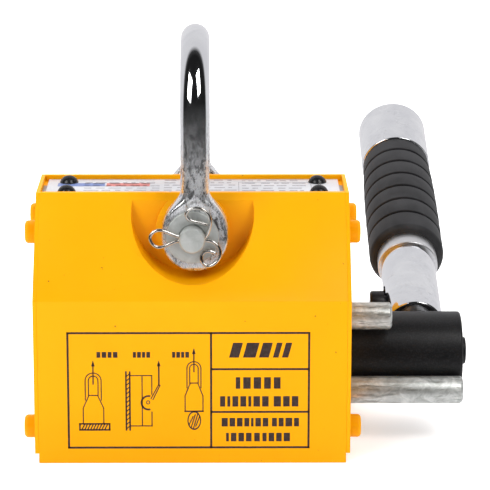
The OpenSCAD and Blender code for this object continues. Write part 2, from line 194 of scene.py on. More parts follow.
def paint_material(name, edge):
    """Yellow enamel with a faint orange peel, small dark nicks and bare steel underneath; with
    edge, a paler orange is mixed in as a painted highlight for rounded edges.
    """
    shader = Shader(name, YELLOW, 0.38, Specular_IOR_Level=0.08)
    clouds = shader.noise(38, 3)
    warm = shader.ramp(clouds, (0.3, YELLOW_DEEP), (0.7, YELLOW_PALE))
    # Painted highlight: the rounded edges' enamel is mixed towards a paler orange.
    if edge:
        warm = shader.mix(EDGE_HIGHLIGHT_SHARE, warm, YELLOW_EDGE_HIGHLIGHT)
    nick_noise = shader.noise(900, 2, rough=0.4)
    nick_field = shader.noise(70, 2)
    nicks = shader.times(shader.ramp(nick_noise, (0.74, 0.0), (0.77, 1.0)),
                         shader.ramp(nick_field, (0.52, 0.0), (0.62, 1.0)))
    worn = shader.mix(nicks, warm, NICK_BROWN)
    underside = shader.maths("LESS_THAN", shader.axis("Z"), BARE_BELOW)
    grind = shader.noise(900, 4, vector=shader.stretched((0.04, 1, 1)))
    steel = shader.ramp(grind, (0.3, GROUND_DARK), (0.7, GROUND_LIGHT))
    shader.colour(shader.mix(underside, worn, steel))
    shader.link(underside, shader.bsdf.inputs["Metallic"])
    shader.roughness(shader.noise(260, 3), 0.30, 0.46)
    shader.bump(shader.noise(520, 2), 0.08, 0.12 * MM)
    shader.bump(nicks, 0.4, -0.06 * MM)
    return shader.material


CHROME_DEEP = (0.74, 0.75, 0.78)
CHROME_PALE = (0.90, 0.91, 0.92)
PIT_COLOUR = (0.10, 0.10, 0.10)
# Wear by lift, which is 0 at a height of 50 mm and grows by 1 every 100 mm.
LIFT_PER_METRE = 10.0
LIFT_START = 0.5
WEAR_BY_LIFT = ((0.28, 1.0), (0.39, 0.45), (0.47, 0.0))
# How far wear lowers the metallic value and darkens the pits.
WEAR_ON_METAL = 0.16
PIT_SHARE = 0.72


def chrome_material(name, worn):
    """Plated steel with smears and dull patches; worn adds a pitted, mottled lower part."""
    shader = Shader(name, (0.82, 0.83, 0.85), 0.1, 1.0)
    smear = shader.noise(90, 5, 1.2)
    pits = shader.noise(900, 6, 0.5, 0.75, shader.stretched((1, 1, 0.45)))
    patch = shader.noise(130, 4, 0.8)
    base = shader.ramp(smear, (0.25, CHROME_DEEP), (0.75, CHROME_PALE))
    if worn:
        lift = shader.maths("SUBTRACT", shader.times(shader.axis("Z"), LIFT_PER_METRE), LIFT_START)
        low = shader.ramp(lift, *WEAR_BY_LIFT)
        area = shader.times(low, shader.ramp(patch, (0.30, 0.35), (0.55, 1.0)))
    else:
        area = shader.ramp(patch, (0.50, 0.02), (0.75, 0.30))
    spots = shader.times(shader.ramp(pits, (0.42, 1.0), (0.49, 0.0)), area)
    plated = shader.maths("SUBTRACT", 1.0, shader.times(area, WEAR_ON_METAL))
    shader.link(plated, shader.bsdf.inputs["Metallic"])
    shader.colour(shader.mix(shader.times(spots, PIT_SHARE), base, PIT_COLOUR))
    matt = shader.times(area, shader.ramp(pits, (0.40, 0.12), (0.54, 0.60)))
    dull = shader.maths("ADD", matt, shader.times(smear, 0.16))
    shader.roughness(dull, 0.03, 0.50)
    shader.bump(shader.times(pits, area), 0.03, 0.03 * MM)
    return shader.material


# Zinc plate: three greys from dark to pale, the streaks' ramp and colour, the metallic value.
ZINC_MOTTLED = (((0.36, 0.375, 0.36), (0.43, 0.445, 0.43), (0.50, 0.515, 0.50)),
                ((0.60, 0.0), (0.75, 0.4)), (0.26, 0.255, 0.24), 0.45)
ZINC_STREAKED = (((0.38, 0.39, 0.375), (0.60, 0.62, 0.60), (0.84, 0.85, 0.83)),
                 ((0.52, 0.0), (0.62, 0.8)), (0.22, 0.22, 0.20), 0.75)


def zinc_material(name, recipe):
    """Zinc plate, mottled by a cloud of greys and streaked along X."""
    greys, streak_stops, streak_colour, metallic = recipe
    shader = Shader(name, (0.62, 0.63, 0.61), 0.42, metallic)
    cloud = shader.noise(240, 6, 0.9, 0.65)
    streak = shader.noise(760, 6, 0.5, 0.7, shader.stretched((0.14, 1, 1)))
    base = shader.ramp(cloud, *zip((0.32, 0.5, 0.7), greys))
    shader.colour(shader.mix(shader.ramp(streak, *streak_stops), base, streak_colour))
    shader.roughness(cloud, 0.30, 0.52)
    shader.bump(shader.noise(900, 4), 0.2, 0.05 * MM)
    return shader.material


def wire_material():
    """Bright drawn wire with brownish clouds."""
    shader = Shader("split_pin_wire", (0.60, 0.58, 0.54), 0.2, 1.0)
    cloud = shader.noise(500, 4)
    shader.colour(shader.ramp(cloud, (0.3, (0.46, 0.43, 0.38)), (0.65, (0.84, 0.82, 0.78))))
    shader.roughness(cloud, 0.12, 0.30)
    shader.bump(shader.noise(1600, 3), 0.12, 0.04 * MM)
    return shader.material


def lighter(colour, gain, lift):
    """A paler tone of a colour."""
    return tuple(min(1.0, channel * gain + lift) for channel in colour)


def black_material(name, colour, low, high, grain):
    """Black oxide or moulded black, with lighter flecks painted into the colour as glints, and a
    fine grain bump from the same noise.
    """
    shader = Shader(name, colour, 0.4, 0.0, Specular_IOR_Level=0.33)
    # Painted glints: lighter flecks in the colour; the same noise also bumps a fine grain.
    grain_and_glints = shader.noise(2600, 2)
    tone = lighter(colour, 2.6, 0.006)
    shader.colour(shader.ramp(grain_and_glints, (0.45, colour), (0.8, tone)))
    shader.roughness(shader.noise(300, 3), low, high)
    shader.bump(grain_and_glints, grain, 0.05 * MM)
    return shader.material


def rubber_material():
    """Black rubber, dusty in places."""
    shader = Shader("grip_rubber", (0.02, 0.02, 0.022), 0.55, 0.0, Specular_IOR_Level=0.22)
    dust = shader.noise(150, 5, 0.5)
    shader.colour(shader.ramp(dust, (0.3, (0.013, 0.013, 0.014)), (0.75, (0.030, 0.030, 0.032))))
    shader.roughness(dust, 0.42, 0.62)
    shader.bump(shader.noise(1800, 3), 0.25, 0.05 * MM)
    return shader.material


def machined_material(name, dark, light, metallic=1.0):
    """Turned or ground metal, with fine marks along the rotor axis."""
    shader = Shader(name, light, 0.3, metallic)
    marks = shader.noise(1100, 4, vector=shader.stretched((0.05, 1, 1)))
    shader.colour(shader.ramp(marks, (0.3, dark), (0.7, light)))
    shader.roughness(marks, 0.24, 0.42)
    shader.bump(marks, 0.12, 0.04 * MM)
    return shader.material


def plate_material():
    """Pale grey printed sheet with a faint brushed grain along X."""
    shader = Shader("printed_plate", (0.50, 0.50, 0.53), 0.4, 0.15)
    cloud = shader.noise(60, 4)
    shader.colour(shader.ramp(cloud, (0.3, (0.46, 0.465, 0.49)), (0.7, (0.56, 0.56, 0.585))))
    shader.roughness(cloud, 0.32, 0.5)
    shader.bump(shader.noise(1200, 2, vector=shader.stretched((0.06, 1, 1))), 0.05, 0.03 * MM)
    return shader.material


def ink_material(name, colour):
    """Screen-printed ink with slightly uneven cover."""
    shader = Shader(name, colour, 0.45)
    cover = shader.noise(1400, 3)
    light = lighter(colour, 1.7, 0.012)
    shader.colour(shader.ramp(cover, (0.4, colour), (0.8, light)))
    shader.bump(cover, 0.1, 0.02 * MM)
    return shader.material


PAINT = paint_material("yellow_enamel", False)
# Enamel for the rounded edges, with a painted highlight mixed into its colour.
PAINT_EDGE_HIGHLIGHT = paint_material("yellow_enamel_edge_highlight", True)
CHROME = chrome_material("handle_chrome", False)
CHROME_WORN = chrome_material("shackle_chrome", True)
CHROME_COLLAR = machined_material("collar_chrome", (0.78, 0.78, 0.79), (0.92, 0.92, 0.93))
ZINC = zinc_material("zinc_plate", ZINC_MOTTLED)
ZINC_STREAKY = zinc_material("zinc_plate_streaky", ZINC_STREAKED)
WIRE = wire_material()
HUB_BLACK = black_material("hub_black", (0.004, 0.004, 0.0045), 0.32, 0.46, 0.35)
RIVET_BLACK = black_material("rivet_black", (0.008, 0.008, 0.009), 0.16, 0.3, 0.1)
RUBBER = rubber_material()
STEEL = machined_material("ground_steel", (0.40, 0.40, 0.41), (0.62, 0.62, 0.63))
BRASS = machined_material("turned_brass", (0.50, 0.34, 0.12), (0.78, 0.58, 0.24))
MAGNET = machined_material("magnet_alloy", (0.10, 0.10, 0.11), (0.22, 0.22, 0.23), 0.7)
PLATE = plate_material()
INK = ink_material("front_ink", (0.030, 0.014, 0.010))
INK_GREY = ink_material("plate_ink_grey", (0.22, 0.21, 0.23))
INK_BLUE = ink_material("plate_ink_blue", (0.10, 0.14, 0.30))
INK_RED = ink_material("plate_ink_red", (0.42, 0.13, 0.12))
BY_SLOT = {"yellow_paint": PAINT, "bare_steel": STEEL, "chrome": CHROME, "zinc": ZINC,
           "black_oxide": HUB_BLACK, "magnet": MAGNET, "brass": BRASS, "plate": PLATE,
           "rubber": RUBBER}


# ---------------------------------------------------------------- mesh helpers

def add_object(name, mesh, materials, body, replaced=()):
    """Links a mesh as a piece that rides on a body and stands for CAD nodes."""
    piece = bpy.data.objects.new(name, mesh)
    bpy.context.collection.objects.link(piece)
    for material in materials:
        mesh.materials.append(material)
    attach(piece, body)
    if replaced:
        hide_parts(*replaced)
    return piece


def smooth(mesh, angle):
    """Smooth shading, with edges sharper than the angle in degrees kept hard."""
    mesh.polygons.foreach_set("use_smooth", [True] * len(mesh.polygons))
    mesh.set_sharp_from_angle(angle=math.radians(angle))
    mesh.update()


def bake(scratch):
    """The mesh of a scratch object with its modifiers applied; the scratch object goes."""
    depsgraph = bpy.context.evaluated_depsgraph_get()
    mesh = bpy.data.meshes.new_from_object(scratch.evaluated_get(depsgraph))
    bpy.data.objects.remove(scratch)
    return mesh


WELD_DISTANCE = 0.002 * MM
FLAT_ANGLE = math.radians(0.6)
BEVEL_ANGLE = math.radians(33)
BEVEL_SEGMENTS = 3


def refined(node, width, materials=None, edge_index=None):
    """A copy of a CAD node with true rounded edges of the given width in millimetres.

    edge_index is the place, among the materials, of the one that the rounded edges wear, such as
    the enamel with its painted edge highlight.
    """
    mesh = nodes[node].data.copy()
    mesh.materials.clear()
    shape = bmesh.new()
    shape.from_mesh(mesh)
    bmesh.ops.remove_doubles(shape, verts=shape.verts, dist=WELD_DISTANCE)
    bmesh.ops.dissolve_limit(shape, angle_limit=FLAT_ANGLE, verts=shape.verts, edges=shape.edges)
    shape.to_mesh(mesh)
    shape.free()
    mesh.validate()
    scratch = bpy.data.objects.new("scratch", mesh)
    bpy.context.collection.objects.link(scratch)
    used = materials or [BY_SLOT[slot_of_node[node]]]
    for material in used:
        mesh.materials.append(material)
    bevel = scratch.modifiers.new("round", "BEVEL")
    bevel.width = width * MM
    bevel.segments = BEVEL_SEGMENTS
    bevel.limit_method = "ANGLE"
    bevel.angle_limit = BEVEL_ANGLE
    bevel.harden_normals = True
    bevel.miter_outer = "MITER_ARC"
    if edge_index is not None:
        bevel.material = edge_index
    mesh.polygons.foreach_set("use_smooth", [True] * len(mesh.polygons))
    result = bake(scratch)
    result.materials.clear()
    return add_object(node + "_finished", result, used, body_of_node[node],
                      (node,))


def finished_mesh(shape, name):
    """Turns a bmesh into a mesh with its faces turned outwards, and frees it."""
    bmesh.ops.recalc_face_normals(shape, faces=shape.faces)
    mesh = bpy.data.meshes.new(name)
    shape.to_mesh(mesh)
    shape.free()
    return mesh


# A radius below this is a point on the axis of a turned outline.
ON_AXIS = 1e-6
SEAM_DISTANCE = 0.001 * MM


def lathe_mesh(profile, place, around):
    """Turns an outline of (radius, distance) pairs in millimetres about the local Z axis."""
    shape = bmesh.new()
    rings = []
    for radius, distance in profile:
        if radius < ON_AXIS:
            rings.append([shape.verts.new(place @ Vector((0, 0, distance * MM)))])
            continue
        ring = []
        for step in range(around):
            turn = 2 * math.pi * step / around
            ring.append(shape.verts.new(place @ Vector((radius * MM * math.cos(turn),
                                                        radius * MM * math.sin(turn),
                                                        distance * MM))))
        rings.append(ring)
    for low, high in zip(rings, rings[1:]):
        for step in range(around):
            after = (step + 1) % around
            corners = [low[step % len(low)], low[after % len(low)],
                       high[after % len(high)], high[step % len(high)]]
            unique = list(dict.fromkeys(corners))
            if len(unique) > 2:
                shape.faces.new(unique)
    if len(rings[0]) > 1 and profile[0] == profile[-1]:
        bmesh.ops.remove_doubles(shape, verts=shape.verts, dist=SEAM_DISTANCE)
    return finished_mesh(shape, "lathe")


def rounded_outline(points, steps=7):
    """Points are (radius, distance, rounding); each corner becomes an arc of that rounding."""
    outline = []
    count = len(points)
    for index, (r, s, rounding) in enumerate(points):
        here = Vector((r, s))
        if rounding <= 0 or index in (0, count - 1):
            outline.append((r, s))
            continue
        before = (Vector(points[index - 1][:2]) - here).normalized()
        after = (Vector(points[index + 1][:2]) - here).normalized()
        half = before.angle(after) / 2
        reach = rounding / math.tan(half)
        start = here + before * reach
        end = here + after * reach
        centre = here + (before + after).normalized() * (rounding / math.sin(half))
        first = start - centre
        last = end - centre
        for step in range(steps + 1):
            spoke = first.lerp(last, step / steps).normalized() * rounding
            outline.append(tuple(centre + spoke))
    return outline


def cut(mesh, cutter):
    """The mesh less the cutter mesh."""
    scratch = bpy.data.objects.new("scratch", mesh)
    tool = bpy.data.objects.new("tool", cutter)
    for item in (scratch, tool):
        bpy.context.collection.objects.link(item)
    boolean = scratch.modifiers.new("cut", "BOOLEAN")
    boolean.operation = "DIFFERENCE"
    boolean.solver = "EXACT"
    boolean.object = tool
    result = bake(scratch)
    bpy.data.objects.remove(tool)
    result.materials.clear()
    return result


def loft(sections):
    """Joins rings of points, each a list of the same length, and closes both ends."""
    shape = bmesh.new()
    rings = [[shape.verts.new(point) for point in ring] for ring in sections]
    for low, high in zip(rings, rings[1:]):
        count = len(low)
        for step in range(count):
            after = (step + 1) % count
            shape.faces.new((low[step], low[after], high[after], high[step]))
    shape.faces.new(list(reversed(rings[0])))
    shape.faces.new(rings[-1])
    return finished_mesh(shape, "loft")


def centre_of(node):
    """The middle of a CAD node's box."""
    low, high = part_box(node)
    return (Vector(low) + Vector(high)) / 2


# ---------------------------------------------------------------- body

# The front face sits back by this much so that its print stays inside the outer size.
FACE_INSET = 0.04 * MM
FACE_TOLERANCE = 0.01 * MM
# The second enamel, with its painted edge highlight, goes on the bevel faces.
ENAMEL = [PAINT, PAINT_EDGE_HIGHLIGHT]
# Rounding of each refined node in millimetres, in the order they are made.
PAINTED = (("pole_block_front", 0.45), ("pole_block_back", 0.45), ("end_cover_left", 0.25),
           ("end_cover_right", 0.25), ("cap_screws_left", 0.22), ("cap_screws_right", 0.22))
PLAIN = (("washer_front", 0.25), ("washer_back", 0.25), ("shackle_pin", 0.3), ("hub", 0.2),
         ("hub_screw", 0.15), ("safety_key", 0.3), ("handle_stem", 0.3), ("spacer_bottom", 0.05))
STREAKED = (("stop_pin_front", 0.25), ("stop_pin_rear", 0.25), ("limit_pin_short", 0.25))

painted = {part: refined(part, rounding, ENAMEL, 1) for part, rounding in PAINTED}
front_face_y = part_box("pole_block_front")[0][1]
for vertex in painted["pole_block_front"].data.vertices:
    if vertex.co.y < front_face_y + FACE_TOLERANCE:
        vertex.co.y += FACE_INSET
refined("nameplate", 0.1)
refined("nameplate_rivets", 0.3, [RIVET_BLACK])
for part, rounding in PLAIN:
    refined(part, rounding)
for part, rounding in STREAKED:
    refined(part, rounding, [ZINC_STREAKY])


# ---------------------------------------------------------------- shackle

pin_centre = centre_of("shackle_pin")
shackle_low, shackle_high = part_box("shackle")
EYE_X = (shackle_low[0] + shackle_high[0]) / 2 / MM
EYE_R = (shackle_high[0] - shackle_low[0]) / 2 / MM
EYE_Z = shackle_low[2] / MM + EYE_R
ROD_R = 3.9
LEG_Y = shackle_high[1] / MM - ROD_R
BOW_Z = shackle_high[2] / MM - LEG_Y - ROD_R
EYE_T = 6.0
EYE_ROUND = 0.9
EYE_BORE_R = 4.65
# Half widths of a leg by height above the middle of its eye: shoulders, then the rod.
SHOULDER = [(0.0, 8.9), (2.0, 8.88), (3.6, 8.7), (5.0, 8.35), (6.2, 7.85), (7.4, 7.15), (8.6, 6.3),
            (9.8, 5.35), (10.7, 4.65), (11.4, 4.2), (12.0, 4.0), (12.8, 3.9)]
# Between these heights the flat eye turns into the round rod.
NECK_LOW = 5.5
NECK_HIGH = 12.8
CORNER_STEPS = 10
# Sections along the eye's lower half, the shoulders, the straight legs and the bow.
EYE_STEPS = 20
SHOULDER_STEPS = 32
LEG_STEPS = 5
BOW_STEPS = 64
# The first section stands this share of a quarter turn up from the eye's lowest point.
EYE_START = 0.01
# The least half width squared, so that no section shrinks to a line.
LEAST_SQUARE = 0.0004
# The least straight run left beside a rounded corner.
CORNER_PLAY = 0.01
DRILL_REACH = 40
DRILL_SIDES = 64


def smoothstep(value):
    """Eases from 0 to 1."""
    value = min(1.0, max(0.0, value))
    return value * value * (3 - 2 * value)


def rounded_ring(half_x, half_t, corner, centre, normal):
    """A rounded rectangle: half_x along X and half_t along the normal, about a centre."""
    corner = min(corner, half_x - CORNER_PLAY, half_t - CORNER_PLAY)
    ring = []
    for quarter in range(4):
        sign_x = (1, -1, -1, 1)[quarter]
        sign_t = (1, 1, -1, -1)[quarter]
        for step in range(CORNER_STEPS + 1):
            turn = math.pi / 2 * (quarter + step / CORNER_STEPS)
            x = sign_x * (half_x - corner) + corner * math.cos(turn)
            t = sign_t * (half_t - corner) + corner * math.sin(turn)
            ring.append((Vector((x, 0, 0)) + centre + normal * t) * MM)
    return ring


def half_width(rise):
    """Half the width of a leg at a height above the middle of its eye."""
    if rise < 0:
        return math.sqrt(max(LEAST_SQUARE, EYE_R ** 2 - rise ** 2))
    for (low, wide), (high, narrow) in zip(SHOULDER, SHOULDER[1:]):
        if rise <= high:
            return wide + (narrow - wide) * (rise - low) / (high - low)
    return ROD_R


def leg_section(rise, side):
    """The cross-section of one leg at a height above the middle of its eye, in millimetres."""
    blend = smoothstep((rise - NECK_LOW) / (NECK_HIGH - NECK_LOW))
    half_t = EYE_T / 2 + (ROD_R - EYE_T / 2) * blend
    corner = EYE_ROUND + (ROD_R - EYE_ROUND) * blend
    above = rise + EYE_R
    if above < EYE_ROUND:
        half_t += math.sqrt(max(0.0, EYE_ROUND ** 2 - (EYE_ROUND - above) ** 2)) - EYE_ROUND
    centre = Vector((EYE_X, side * LEG_Y, EYE_Z + rise))
    return rounded_ring(half_width(rise), half_t, corner, centre, Vector((0, side, 0)))


def shackle_piece():
    """One bent bar: up one leg from its eye, over the bow and down the other leg."""
    rises = []
    for step in range(EYE_STEPS + 1):
        quarter = EYE_START + (1 - EYE_START) * step / EYE_STEPS
        rises.append(-EYE_R * math.cos(math.pi / 2 * quarter))
    rises += [NECK_HIGH * step / SHOULDER_STEPS for step in range(1, SHOULDER_STEPS + 1)]
    straight = BOW_Z - EYE_Z - NECK_HIGH
    rises += [NECK_HIGH + straight * step / LEG_STEPS for step in range(1, LEG_STEPS)]
    sections = [leg_section(rise, 1) for rise in rises]
    for step in range(BOW_STEPS + 1):
        turn = math.pi * step / BOW_STEPS
        outwards = Vector((0, math.cos(turn), math.sin(turn)))
        centre = Vector((EYE_X, 0, BOW_Z)) + outwards * LEG_Y
        sections.append(rounded_ring(ROD_R, ROD_R, ROD_R, centre, outwards))
    sections += [leg_section(rise, -1) for rise in reversed(rises)]
    mesh = loft(sections)
    eye_place = Matrix.Translation(Vector((EYE_X, 0, EYE_Z)) * MM)
    outline = [(0, -DRILL_REACH), (EYE_BORE_R, -DRILL_REACH),
               (EYE_BORE_R, DRILL_REACH), (0, DRILL_REACH)]
    drill = lathe_mesh(outline, eye_place @ Matrix.Rotation(math.pi / 2, 4, "X"), DRILL_SIDES)
    mesh = cut(mesh, drill)
    smooth(mesh, 38)
    add_object("shackle_forged", mesh, [CHROME_WORN], "shackle", ("shackle",))


shackle_piece()


# ---------------------------------------------------------------- split pins

WIRE_R = 0.46
# The wire's route in X, Z and forward offset, from the curled upper leg through the
# cross pin, round the eye and back out to the curled lower leg.
WIRE_ROUTE = [
    (3.7, 3.9, 0.05), (2.2, 4.3, 0.05), (0.4, 4.75, 0.1), (-1.0, 5.5, 0.3), (-1.55, 6.8, 0.5),
    (-0.8, 8.0, 0.6), (1.0, 8.55, 0.7), (3.1, 8.05, 0.8), (4.5, 6.5, 0.9), (4.85, 4.6, 0.9),
    (4.55, 2.9, 0.75), (4.15, 1.5, 0.4), (3.6, 0.62, 0.1), (2.6, 0.43, 0), (-2.8, 0.43, 0),
    (-3.8, 0.6, 0), (-5.4, 1.25, 0.1), (-7.4, 2.1, 0.2), (-9.0, 2.35, 0.25), (-10.5, 1.7, 0.25),
    (-11.3, 0.3, 0.25), (-10.7, -1.3, 0.25), (-9.2, -2.3, 0.25), (-7.4, -2.0, 0.2),
    (-5.4, -1.15, 0.1), (-3.8, -0.6, 0), (-2.8, -0.43, 0), (2.6, -0.43, 0), (4.0, -0.5, 0.1),
    (5.6, -0.85, 0.3), (7.0, -2.2, 0.5), (7.5, -4.0, 0.7), (6.9, -5.7, 0.8), (5.5, -7.0, 0.8),
    (3.9, -7.35, 0.7), (2.7, -6.3, 0.5), (2.45, -4.9, 0.3), (3.1, -3.75, 0.15),
    (4.4, -3.4, 0.05), (6.1, -3.9, 0.0)]
SIDES = 14
CURVE_STEPS = 6
# The rounded end of a wire: how far past the end and how wide, in parts of its radius.
ROUND_END = [(0.6, 0.8), (0.95, 0.3)]


def spline(points, steps):
    """A Catmull-Rom curve through the points."""
    padded = [points[0] * 2 - points[1], *points, points[-1] * 2 - points[-2]]
    route = []
    for index in range(1, len(padded) - 2):
        a, b, c, d = padded[index - 1:index + 3]
        for step in range(steps):
            t = step / steps
            route.append(0.5 * ((2 * b) + (c - a) * t + (2 * a - 5 * b + 4 * c - d) * t ** 2
                                + (3 * b - a - 3 * c + d) * t ** 3))
    route.append(points[-1])
    return route


def tube_mesh(route, radius):
    """A round wire along a route, with rounded ends."""
    normal = Vector((0, 1, 0))
    sections = []
    count = len(route)
    for index, point in enumerate(route):
        ahead = route[min(index + 1, count - 1)]
        behind = route[max(index - 1, 0)]
        tangent = (ahead - behind).normalized()
        across = tangent.cross(normal).normalized()
        normal = across.cross(tangent).normalized()
        ends = [(0.0, 1.0)]
        if index == 0:
            ends = [(-along, wide) for along, wide in reversed(ROUND_END)] + ends
        if index == count - 1:
            ends += ROUND_END
        for along, wide in ends:
            ring = []
            for step in range(SIDES):
                turn = 2 * math.pi * step / SIDES
                spoke = across * math.cos(turn) + normal * math.sin(turn)
                ring.append(point + tangent * (radius * along) + spoke * (radius * wide))
            sections.append(ring)
    return loft(sections)


for end_name, facing in (("front", -1), ("back", 1)):
    split_y = centre_of("split_pin_" + end_name).y
    points = [Vector((x * MM, split_y + facing * forward * MM, pin_centre.z + z * MM))
              for x, z, forward in WIRE_ROUTE]
    wire_mesh = tube_mesh(spline(points, CURVE_STEPS), WIRE_R * MM)
    smooth(wire_mesh, 60)
    add_object("split_pin_" + end_name + "_bent", wire_mesh, [WIRE], "housing",
               ("split_pin_" + end_name,))


# ---------------------------------------------------------------- handle

handle_axis = Vector(joints["key_slide"]["axis"]).normalized()
rotor_z = joints["handle_turn"]["pos_m"][2]
handle_origin = Vector((centre_of("handle_tube").x, 0, rotor_z))
lean = math.atan2(handle_axis.y, handle_axis.z)
ON_HANDLE = Matrix.Translation(handle_origin) @ Matrix.Rotation(-lean, 4, "X")


def handle_span(node):
    """Where a node starts and ends along the handle, and its largest radius, in millimetres."""
    along = []
    wide = 0.0
    for vertex in nodes[node].data.vertices:
        offset = vertex.co - handle_origin
        distance = offset.dot(handle_axis)
        along.append(distance)
        wide = max(wide, (offset - handle_axis * distance).length)
    return min(along) / MM, max(along) / MM, wide / MM


HANDLE_SIDES = 144
TIP_SIDES = 160


def turned_piece(node, ending, outline, angle, material, sides=HANDLE_SIDES):
    """Turns an outline about the handle's axis and lets it stand for a CAD node."""
    mesh = lathe_mesh(outline, ON_HANDLE, sides)
    smooth(mesh, angle)
    add_object(node + ending, mesh, [material], "rotor", (node,))


TUBE_BORE = 6.2
# The tube's lower end is narrowed around the stem, over a short length.
STEM_FIT_R = 5.5
STEM_FIT_LENGTH = 3.5
SLOT_HALF_WIDTH = 2.35
SLOT_PLAY = 0.2
SLOT_STEPS = 32
# The key's slot is cut through the tube's left wall, between these two X places.
SLOT_FROM_TO = (-12, -3)


def tube_piece():
    """The bright tube, with the long slot that the safety key slides in."""
    start, end, radius = handle_span("handle_tube")
    step_s = start + STEM_FIT_LENGTH
    outline = rounded_outline([
        (STEM_FIT_R, start, 0), (radius, start, 0.45), (radius, end, 0.2), (TUBE_BORE, end, 0),
        (TUBE_BORE, step_s, 0), (STEM_FIT_R, step_s, 0), (STEM_FIT_R, start, 0)])
    mesh = lathe_mesh(outline, ON_HANDLE, HANDLE_SIDES)
    key_low, key_high, _ = handle_span("safety_key")
    key_s = (key_low + key_high) / 2
    travel = joints["key_slide"]["range_m"][1] / MM + SLOT_PLAY
    ring = []
    for first, middle in ((0, key_s + travel), (math.pi, key_s)):
        for step in range(SLOT_STEPS + 1):
            turn = first + math.pi * step / SLOT_STEPS
            ring.append((math.cos(turn) * SLOT_HALF_WIDTH,
                         middle + math.sin(turn) * SLOT_HALF_WIDTH))
    sections = []
    for x in SLOT_FROM_TO:
        sections.append([ON_HANDLE @ (Vector((x, y, s)) * MM) for y, s in ring])
    mesh = cut(mesh, loft(sections))
    smooth(mesh, 30)
    add_object("handle_tube_slotted", mesh, [CHROME], "rotor", ("handle_tube",))


COLLAR_R = 8.8
COLLAR_MOUTH_R = 8.0
COLLAR_SPIGOT_R = 7.0
COLLAR_BORE_R = 5.6
# How far the collar's wide part reaches under the grip.
COLLAR_OVERLAP = 0.3


def collar_piece():
    """A stepped ring: a wide mouth over the tube's end and a spigot inside the grip."""
    start, end, _ = handle_span("handle_collar")
    shoulder = handle_span("handle_grip")[0] + COLLAR_OVERLAP
    outline = rounded_outline([
        (COLLAR_MOUTH_R, start, 0), (COLLAR_R, start, 0.35), (COLLAR_R, shoulder, 0.2),
        (COLLAR_SPIGOT_R, shoulder, 0), (COLLAR_SPIGOT_R, end, 0), (COLLAR_BORE_R, end, 0),
        (COLLAR_BORE_R, start + 2.6, 0), (COLLAR_MOUTH_R, start + 2.4, 0),
        (COLLAR_MOUTH_R, start, 0)])
    turned_piece("handle_collar", "_turned", outline, 30, CHROME_COLLAR)


# Ring grooves of the grip, measured from its lower end.
GROOVE_FIRST = 8.4
GROOVE_PITCH = 7.73
GROOVE_WIDTH = 1.1
GROOVE_DEPTH = 0.8
GROOVES = 6
GROOVE_LIP = 0.08
GROOVE_SLOPE = 0.12
GRIP_BORE_R = 7.0
GRIP_SWELL = 0.10
GRIP_TAPER = 0.85
TAPER_POWER = 4


def grip_piece():
    """The moulded rubber sleeve with its ring grooves."""
    start, end, widest = handle_span("handle_grip")
    length = end - start

    def radius_at(distance):
        """The grip swells to its middle and thins a little towards the tip."""
        share = distance / length
        swell = GRIP_SWELL * (1 - math.sin(math.pi * min(1.0, share)))
        return widest - swell - GRIP_TAPER * share ** TAPER_POWER

    points = [(GRIP_BORE_R, start + 0.5, 0), (8.7, start, 0.5), (radius_at(0), start, 1.9)]
    for index in range(GROOVES):
        low = GROOVE_FIRST + GROOVE_PITCH * index
        before = low - (GROOVE_PITCH - GROOVE_WIDTH) / 2 if index else GROOVE_FIRST / 2 + 1.2
        points.append((radius_at(before), start + before, 0))
        edge = radius_at(low) - GROOVE_LIP
        floor_r = edge - GROOVE_DEPTH
        points.append((edge, start + low, 0.22))
        points.append((floor_r, start + low + GROOVE_SLOPE, 0.12))
        points.append((floor_r, start + low + GROOVE_WIDTH - GROOVE_SLOPE, 0.12))
        points.append((edge, start + low + GROOVE_WIDTH, 0.22))
    points.append((radius_at(length - 3), end - 3, 0))
    points.append((radius_at(length), end, 0.35))
    points.append((9.0, end, 0))
    points.append((GRIP_BORE_R, end - 0.3, 0))
    outline = rounded_outline(points, 5) + [(GRIP_BORE_R, start + 0.5)]
    turned_piece("handle_grip", "_moulded", outline, 50, RUBBER)


def tip_piece():
    """The plated cap, hollow below and slightly domed on top."""
    start, end, radius = handle_span("handle_tip_cap")
    outline = rounded_outline([
        (0, start + 2, 0), (7.2, start + 2, 0), (8.2, start, 0.3), (radius, start, 0.35),
        (radius, end, 1.5), (6.5, end, 5.0), (0, end - 0.02, 0)], 9)
    turned_piece("handle_tip_cap", "_turned", outline, 40, CHROME, TIP_SIDES)


tube_piece()
collar_piece()
grip_piece()
tip_piece()


# ---------------------------------------------------------------- printing

FILM = 0.03 * MM
# Distances of the print from the front face and from the nameplate.
FRONT_GAP = 0.045 * MM
PLATE_GAP = 0.005 * MM
ARROW_LENGTH = 1.7
ARROW_HALF = 0.5
ARROW_NOTCH = 1.2


